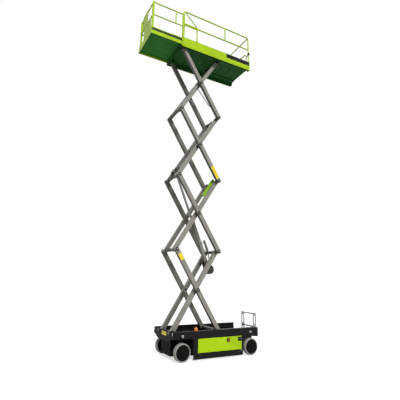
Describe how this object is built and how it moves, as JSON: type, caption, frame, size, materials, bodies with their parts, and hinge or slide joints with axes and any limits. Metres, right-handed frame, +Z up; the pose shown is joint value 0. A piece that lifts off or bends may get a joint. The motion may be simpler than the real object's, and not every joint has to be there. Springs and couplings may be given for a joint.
{
  "type": "scissor lift",
  "caption": "Self-propelled electric slab scissor lift, raised, with a roll-out deck, guard rails, a dark body and four small wheels",
  "frame": {"origin": "middle of the bounding box on the floor under the machine", "axes": "+X towards the steering end and the roll-out deck, +Y the machine's left, +Z up"},
  "size_m": [3.403, 1.166, 9.1143],
  "materials": {
    "charcoal_paint": "satin",
    "black_paint": "satin",
    "lime_paint": "gloss",
    "arm_grey": "satin",
    "bright_steel": "satin",
    "deck_green": "satin",
    "tyre_rubber": "matte",
    "hose_rubber": "matte",
    "signal_red": "gloss",
    "amber_lens": "gloss"
  },
  "bodies": {
    "chassis": {"chassis_frame": "charcoal_paint", "roller_tracks": "charcoal_paint", "steer_axle": "charcoal_paint", "rear_axle": "charcoal_paint", "entry_ladder": "bright_steel", "beacon": "amber_lens"},
    "knuckle_l": {"knuckle_left": "charcoal_paint"},
    "knuckle_r": {"knuckle_right": "charcoal_paint"},
    "wheel_fl": {"wheel_front_left": "black_paint", "tyre_front_left": "tyre_rubber"},
    "wheel_fr": {"wheel_front_right": "black_paint", "tyre_front_right": "tyre_rubber"},
    "wheel_rl": {"wheel_rear_left": "black_paint", "tyre_rear_left": "tyre_rubber"},
    "wheel_rr": {"wheel_rear_right": "black_paint", "tyre_rear_right": "tyre_rubber"},
    "tray_l": {"tray_left": "lime_paint", "ground_controls": "black_paint", "stop_button": "signal_red"},
    "tray_r": {"tray_right": "lime_paint"},
    "guard_l": {"guard_left": "black_paint"},
    "guard_r": {"guard_right": "black_paint"},
    "inner_1": {"inner_arms_1": "arm_grey", "cross_tubes_1": "black_paint"},
    "inner_2": {"inner_arms_2": "arm_grey", "cross_tubes_2": "black_paint", "service_prop": "lime_paint"},
    "inner_3": {"inner_arms_3": "arm_grey", "cross_tubes_3": "black_paint"},
    "inner_4": {"inner_arms_4": "arm_grey", "cross_tubes_4": "black_paint"},
    "outer_1": {"outer_arms_1": "arm_grey", "slide_axle": "black_paint"},
    "outer_2": {"outer_arms_2": "arm_grey"},
    "outer_3": {"outer_arms_3": "arm_grey"},
    "outer_4": {"outer_arms_4": "arm_grey"},
    "barrel": {"lift_barrel": "arm_grey", "cylinder_hose": "hose_rubber"},
    "rod": {"lift_rod": "bright_steel"},
    "platform": {"main_deck": "deck_green", "toe_boards": "lime_paint", "rail_left": "lime_paint", "rail_right": "lime_paint", "rail_rear": "lime_paint", "gate_latch": "black_paint"},
    "gate": {"entry_gate": "lime_paint"},
    "extension": {"ext_deck": "deck_green", "ext_rails": "lime_paint", "ext_panels": "lime_paint", "ext_trim": "black_paint"}
  },
  "joints": [
    {"name": "lift", "type": "hinge", "parent": "chassis", "child": "inner_1", "pos_m": [0.6965, 0, 0.56], "axis": [0, -1, 0], "range_deg": [0, 54.2]},
    {"name": "scissor_1", "type": "hinge", "parent": "inner_1", "child": "outer_1", "pos_m": [0.1173, 0, 1.48692], "axis": [0, 1, 0], "range_deg": [0, 108.41]},
    {"name": "stage_2", "type": "hinge", "parent": "outer_1", "child": "inner_2", "pos_m": [0.6965, 0, 2.41383], "axis": [0, -1, 0], "range_deg": [0, 108.41]},
    {"name": "scissor_2", "type": "hinge", "parent": "inner_2", "child": "outer_2", "pos_m": [0.1173, 0, 3.34075], "axis": [0, 1, 0], "range_deg": [0, 108.41]},
    {"name": "stage_3", "type": "hinge", "parent": "outer_2", "child": "inner_3", "pos_m": [0.6965, 0, 4.26767], "axis": [0, -1, 0], "range_deg": [0, 108.41]},
    {"name": "scissor_3", "type": "hinge", "parent": "inner_3", "child": "outer_3", "pos_m": [0.1173, 0, 5.19458], "axis": [0, 1, 0], "range_deg": [0, 108.41]},
    {"name": "stage_4", "type": "hinge", "parent": "outer_3", "child": "inner_4", "pos_m": [0.6965, 0, 6.1215], "axis": [0, -1, 0], "range_deg": [0, 108.41]},
    {"name": "scissor_4", "type": "hinge", "parent": "inner_4", "child": "outer_4", "pos_m": [0.1173, 0, 7.04842], "axis": [0, 1, 0], "range_deg": [0, 108.41]},
    {"name": "platform_pivot", "type": "hinge", "parent": "outer_4", "child": "platform", "pos_m": [0.6965, 0, 7.97533], "axis": [0, -1, 0], "range_deg": [0, 54.21]},
    {"name": "barrel_pivot", "type": "hinge", "parent": "inner_1", "child": "barrel", "pos_m": [-0.40912, 0, 1.98025], "axis": [0, 1, 0], "range_deg": [0, 106.97]},
    {"name": "rod_slide", "type": "slide", "parent": "barrel", "child": "rod", "axis": [-0.3812, 0, -0.9245], "range_m": [0, 1.06745]},
    {"name": "extension_slide", "type": "slide", "parent": "platform", "child": "extension", "axis": [-1, 0, 0], "range_m": [0, 0.88]},
    {"name": "gate_swing", "type": "hinge", "parent": "platform", "child": "gate", "pos_m": [-1.4775, -0.4, 8.05333], "axis": [0, 0, -1], "range_deg": [0, 90]},
    {"name": "steer_left", "type": "hinge", "parent": "chassis", "child": "knuckle_l", "pos_m": [0.5465, 0.4, 0.19], "axis": [0, 0, 1], "range_deg": [-50, 50]},
    {"name": "steer_right", "type": "hinge", "parent": "chassis", "child": "knuckle_r", "pos_m": [0.5465, -0.4, 0.19], "axis": [0, 0, 1], "range_deg": [-50.01, 50.01]},
    {"name": "spin_fl", "type": "hinge", "parent": "knuckle_l", "child": "wheel_fl", "pos_m": [0.5465, 0.52, 0.19], "axis": [0, 1, 0], "continuous": true},
    {"name": "spin_fr", "type": "hinge", "parent": "knuckle_r", "child": "wheel_fr", "pos_m": [0.5465, -0.52, 0.19], "axis": [0, 1, 0], "continuous": true},
    {"name": "spin_rl", "type": "hinge", "parent": "chassis", "child": "wheel_rl", "pos_m": [-1.2935, 0.52, 0.19], "axis": [0, 1, 0], "continuous": true},
    {"name": "spin_rr", "type": "hinge", "parent": "chassis", "child": "wheel_rr", "pos_m": [-1.2935, -0.52, 0.19], "axis": [0, 1, 0], "continuous": true},
    {"name": "tray_swing_l", "type": "hinge", "parent": "chassis", "child": "tray_l", "pos_m": [0.1515, 0.546, 0.16], "axis": [0, 0, -1], "range_deg": [0, 90]},
    {"name": "tray_swing_r", "type": "hinge", "parent": "chassis", "child": "tray_r", "pos_m": [0.1515, -0.546, 0.16], "axis": [0, 0, 1], "range_deg": [0, 90]},
    {"name": "guard_fold_l", "type": "hinge", "parent": "chassis", "child": "guard_l", "pos_m": [-0.3735, 0.54, 0.124], "axis": [-1, 0, 0], "range_deg": [0, 90]},
    {"name": "guard_fold_r", "type": "hinge", "parent": "chassis", "child": "guard_r", "pos_m": [-0.3735, -0.54, 0.124], "axis": [1, 0, 0], "range_deg": [0, 90]}
  ],
  "couplings": [
    {"joint": "scissor_1", "follows": "lift", "ratio": 2},
    {"joint": "stage_2", "follows": "lift", "ratio": 2},
    {"joint": "scissor_2", "follows": "lift", "ratio": 2},
    {"joint": "stage_3", "follows": "lift", "ratio": 2},
    {"joint": "scissor_3", "follows": "lift", "ratio": 2},
    {"joint": "stage_4", "follows": "lift", "ratio": 2},
    {"joint": "scissor_4", "follows": "lift", "ratio": 2},
    {"joint": "platform_pivot", "follows": "lift", "ratio": 1},
    {"joint": "barrel_pivot", "follows": "lift", "ratio": 1.9734},
    {"joint": "rod_slide", "follows": "lift", "m_per_rad": 1.1279},
    {"joint": "steer_right", "follows": "steer_left", "ratio": 1}
  ]
}
